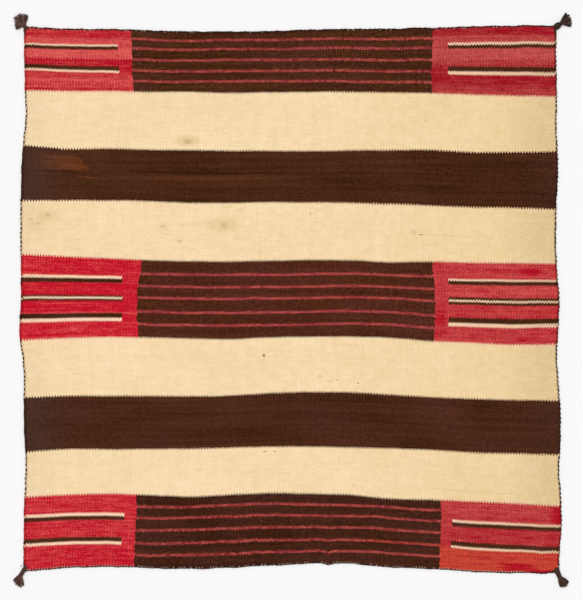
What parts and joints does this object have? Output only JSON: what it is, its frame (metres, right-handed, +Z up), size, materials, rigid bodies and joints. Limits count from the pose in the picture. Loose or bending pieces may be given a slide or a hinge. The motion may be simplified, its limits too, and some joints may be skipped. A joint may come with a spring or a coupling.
{
  "type": "navajo blanket",
  "caption": "Flat hand-woven wool wearing blanket in a traditional banded pattern, with twisted cords along its edges and knotted tassels at its corners.",
  "frame": {"origin": "middle of the whole reach, tassels included, on the surface that the cloth lies on", "axes": "+X across the blanket along its bands, +Y up its length, +Z up from the surface"},
  "size_m": [1.5696, 1.6124, 0.0096],
  "materials": {
    "woven_wool": "ribbed weft-faced wool tapestry in cream, dark brown and red bands",
    "cord_wool": "two-ply dark brown wool cord",
    "tassel_wool": "loose dark brown wool yarn"
  },
  "bodies": {
    "root": {"cloth": "woven_wool", "top_end_cord": "cord_wool", "bottom_end_cord": "cord_wool", "left_side_cord": "cord_wool", "right_side_cord": "cord_wool", "top_left_tassel": "tassel_wool", "top_right_tassel": "tassel_wool", "bottom_left_tassel": "tassel_wool", "bottom_right_tassel": "tassel_wool"}
  },
  "joints": []
}
